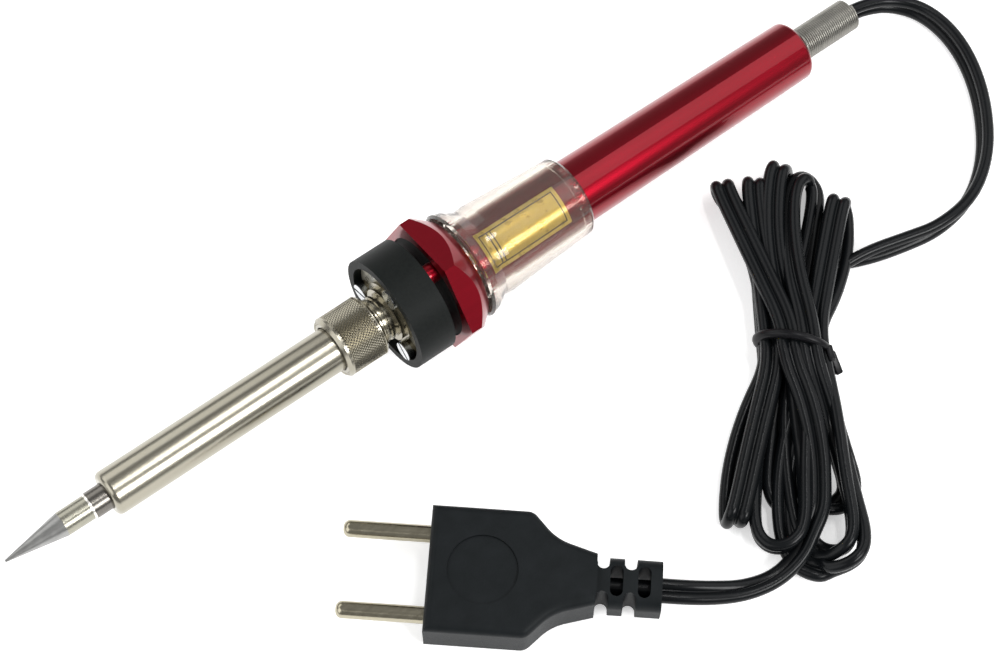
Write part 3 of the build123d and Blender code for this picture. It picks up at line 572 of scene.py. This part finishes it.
for x, y, z, lean in to_plug:
    route.append((Vector((x, y, z)) * MM, lean, False))

# the wide side at each point: level across the run, leaned up by its angle; at a fold, where the
# run crosses the hank, it starts from the hank's own width
crossing = 0.35
wide_sides = []
for index, (point, lean, folded) in enumerate(route):
    before = route[max(index - 1, 0)][0]
    after = route[min(index + 1, len(route) - 1)][0]
    level = up.cross(after - before)
    if folded and abs((after - before).normalized().dot(hank_along)) < crossing:
        level = hank_side.copy()
    level.normalize()
    wide = level * cos(radians(lean)) + up * sin(radians(lean))
    if wide_sides and wide.dot(wide_sides[-1]) < 0:
        wide = -wide
    wide_sides.append(wide)


def smooth_line(name, points):
    """Points along the NURBS spline that these control points give."""
    line = bpy.data.curves.new(name, "CURVE")
    line.dimensions = "3D"
    line.resolution_u = 12
    spline = line.splines.new("NURBS")
    spline.points.add(len(points) - 1)
    for place, point in zip(spline.points, points):
        place.co = (*point, 1.0)
    spline.order_u = 3
    spline.use_endpoint_u = True
    holder = bpy.data.objects.new(name, line)
    bpy.context.scene.collection.objects.link(holder)
    bpy.context.view_layer.update()
    mesh = bpy.data.meshes.new_from_object(holder.evaluated_get(bpy.context.evaluated_depsgraph_get()))
    found = [vertex.co.copy() for vertex in mesh.vertices]
    bpy.data.objects.remove(holder)
    bpy.data.meshes.remove(mesh)
    return found


flex_line = smooth_line("flex_line", [point for point, lean, folded in route])
edge_line = smooth_line("edge_line", [row[0] + wide * MM for row, wide in zip(route, wide_sides)])
# the section: two round cores, each an arc that stops short of the groove between them
core_reach = flex_core / 2
arc_steps = 12
arc_half = 156
section = []
for sense in (1, -1):
    for step in range(arc_steps + 1):
        turn = radians(-arc_half + 2 * arc_half / arc_steps * step)
        section.append((sense * (core_reach + core_reach * cos(turn)), sense * core_reach * sin(turn)))
rings = []
for index, point in enumerate(flex_line):
    before = flex_line[max(index - 1, 0)]
    after = flex_line[min(index + 1, len(flex_line) - 1)]
    run = (after - before).normalized()
    wide = edge_line[index] - point
    wide = (wide - run * wide.dot(run)).normalized()
    thin = run.cross(wide)
    rings += [point + wide * a + thin * b for a, b in section]
count = len(section)
faces = []
for ring in range(len(flex_line) - 1):
    for k in range(count):
        here, beside = ring * count + k, ring * count + (k + 1) % count
        faces.append((here, beside, beside + count, here + count))
faces.append(tuple(reversed(range(count))))
faces.append(tuple(range(len(rings) - count, len(rings))))
flex_mesh = bpy.data.meshes.new("flex")
flex_mesh.from_pydata(rings, [], faces)
flex = bpy.data.objects.new("flex", flex_mesh)
bpy.context.scene.collection.objects.link(flex)
bpy.context.view_layer.objects.active = flex
bpy.ops.object.mode_set(mode="EDIT")
bpy.ops.mesh.select_all(action="SELECT")
bpy.ops.mesh.normals_make_consistent(inside=False)
bpy.ops.object.mode_set(mode="OBJECT")
smooth(flex, 50)

black_vinyl = Finish("flex_pvc", Specular_IOR_Level=0.16)
skin = black_vinyl.noise(black_vinyl.place(), 900.0, 3.0)
dust = black_vinyl.noise(black_vinyl.place(), 70.0, 4.0)
black_vinyl.feed("Base Color", black_vinyl.blend(dust, (0.002, 0.0025, 0.003, 1), (0.006, 0.007, 0.008, 1)))
black_vinyl.feed("Roughness", 0.18 + skin * 0.08 + dust * 0.08)
black_vinyl.bump(skin, 0.12, 0.00005)
flex_mesh.materials.append(black_vinyl.material)
dress(black_vinyl, "flex_in_handle", "flex_in_plug")
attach(flex, "handle")
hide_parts("flex_to_hank", "flex_hank", "flex_to_plug")


# Tie: a loop of black vinyl over wire round the middle of the hank, twisted off at one side with
# its end lying along the flex.
tie_dia = 2.2 * MM
tie_steps = 72
tie_sides = 12
plain_radius = 10.0 * MM
# the loop's middle, half width, half height and slant in the hank, in millimetres
tie_along, tie_slant = 48.2, 0.25
tie_middle, tie_half_width = -0.9, 8.15
tie_rise, tie_half_height = 7.7, 6.6
# one row for each twisted end: its start and finish in the hank, and its thickness
tie_ends = (((50.2, 7.6, 8.6), (54.6, 9.6, 5.4), 1.9), ((49.6, 6.8, 11.0), (53.2, 7.6, 10.2), 1.7))
tail_rounding = 0.45 * MM
bpy.ops.object.select_all(action="DESELECT")
bpy.ops.mesh.primitive_torus_add(major_segments=tie_steps, minor_segments=tie_sides,
                                 major_radius=plain_radius, minor_radius=tie_dia / 2)
tie = bpy.context.object
tie.name = "tie_band"
for vertex in tie.data.vertices:
    flat = vertex.co.to_2d()
    outward = flat.length - plain_radius
    across, rise = flat.normalized()
    across_mm = tie_middle + (tie_half_width + outward / MM) * across
    height_mm = tie_rise + (tie_half_height + outward / MM) * rise
    along_mm = tie_along + tie_slant * across_mm + vertex.co.z / MM
    vertex.co = in_hank(along_mm, across_mm, height_mm)
tails = []
for start, finish, thick in tie_ends:
    bpy.ops.object.select_all(action="DESELECT")
    bpy.ops.mesh.primitive_cube_add(size=1.0)
    tail = bpy.context.object
    first, last = in_hank(*start), in_hank(*finish)
    run = (last - first).normalized()
    beside = run.cross(up).normalized()
    over = beside.cross(run)
    for vertex in tail.data.vertices:
        middle = first.lerp(last, vertex.co.x + 0.5)
        vertex.co = middle + (beside * vertex.co.y + over * vertex.co.z) * thick * MM
    tail.modifiers.new("edge", "BEVEL").width = tail_rounding
    tail.modifiers["edge"].segments = 3
    bpy.ops.object.modifier_apply(modifier="edge")
    tails.append(tail)
join(tie, *tails)
bpy.ops.object.mode_set(mode="EDIT")
bpy.ops.mesh.select_all(action="SELECT")
bpy.ops.mesh.normals_make_consistent(inside=False)
bpy.ops.object.mode_set(mode="OBJECT")
smooth(tie, 50)
tie_vinyl = Finish("tie_pvc", Specular_IOR_Level=0.16)
skin = tie_vinyl.noise(tie_vinyl.place(), 700.0, 3.0)
tie_vinyl.feed("Base Color", tie_vinyl.blend(skin, (0.002, 0.002, 0.003, 1), (0.008, 0.008, 0.009, 1)))
tie_vinyl.feed("Roughness", 0.26 + skin * 0.14)
tie_vinyl.bump(skin, 0.2, 0.00006)
tie.data.materials.append(tie_vinyl.material)
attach(tie, "handle")
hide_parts("hank_tie")


# Plug: moulded in dark PVC with a fine texture, with a parting line round its middle.
plug_middle = 6.75 * MM
parting_half_width = 0.09 * MM
plug_vinyl = Finish("plug_pvc", Specular_IOR_Level=0.12)
place = plug_vinyl.node("ShaderNodeTexCoord", output=3)
height = plug_vinyl.node("ShaderNodeSeparateXYZ", None, {0: place}, output=2)
sparkle = plug_vinyl.noise(place, 2600.0, 3.0, 0.7)
mottle = plug_vinyl.noise(place, 260.0, 4.0)
parting = (height - plug_middle).math("ABSOLUTE") < parting_half_width
base = plug_vinyl.blend(mottle, (0.003, 0.0045, 0.005, 1), (0.009, 0.011, 0.0125, 1))
plug_vinyl.feed("Base Color", plug_vinyl.blend(parting, base, (0.006, 0.007, 0.008, 1)))
plug_vinyl.feed("Roughness", 0.4 + sparkle * 0.2)
plug_vinyl.bump(sparkle - parting * 1.5, 0.35, 0.00008)
dress(plug_vinyl, "plug_body")


# Plug pins: solid brass, nickelled bright, with rounded ends and faint marks from the socket.
pin_plate = Finish("pin_nickel", Metallic=1.0)
scratch = pin_plate.noise(pin_plate.place((0.2, 1, 1)), 1400.0, 4.0)
pin_plate.feed("Base Color", pin_plate.blend(scratch, (0.32, 0.29, 0.21, 1), (0.44, 0.41, 0.32, 1)))
pin_plate.feed("Roughness", 0.12 + scratch * 0.16)
pin_plate.bump(scratch, 0.15, 0.00004)
dress(pin_plate, "plug_pins")


# Bench and lights: a plain pale floor under broad soft lights. The floor gives off some light of
# its own, so that shadows on it stay faint.
bpy.ops.object.select_all(action="DESELECT")
bpy.ops.mesh.primitive_plane_add(size=6.0)
floor = bpy.context.object
floor.name = "floor"
bench = Finish("bench", Specular_IOR_Level=0.1, Emission_Strength=0.45)
grain = bench.node("ShaderNodeTexNoise", None, {"Scale": 3.0})
bench.feed("Base Color", bench.blend(grain, (0.93, 0.93, 0.93, 1), (0.95, 0.95, 0.95, 1)))
bench.feed("Roughness", 0.9 + grain * 0.05)
bench.feed("Emission Color", bench.blend(grain, (0.97, 0.97, 0.97, 1), (1, 1, 1, 1)))
floor.data.materials.append(bench.material)
room = bpy.data.worlds.new("room")
room.use_nodes = True
room.node_tree.nodes["Background"].inputs["Color"].default_value = (1, 1, 1, 1)
room.node_tree.nodes["Background"].inputs["Strength"].default_value = 0.3
bpy.context.scene.world = room
bpy.context.scene.view_settings.view_transform = "Standard"
# one row for each lamp: its name, place, length, width and power
lamps = (
    ("near_side", (0.24, -0.85, 0.72), 0.5, 0.34, 8.0),
    ("overhead_strip", (0.26, -0.12, 1.1), 0.5, 0.07, 2.4),
    ("left", (-1.0, 0.1, 0.8), 1.2, 1.2, 7.5),
    ("right", (1.0, -0.1, 0.9), 1.2, 1.2, 6.5),
    ("behind", (-0.2, 1.0, 0.8), 1.2, 0.8, 4.5))
for name, spot, length, width, power in lamps:
    lamp = bpy.data.lights.new(name, "AREA")
    lamp.shape = "RECTANGLE"
    lamp.size = length
    lamp.size_y = width
    lamp.energy = power
    holder = bpy.data.objects.new(name, lamp)
    holder.location = spot
    holder.rotation_euler = (-Vector(spot)).to_track_quat("-Z", "Y").to_euler()
    bpy.context.scene.collection.objects.link(holder)
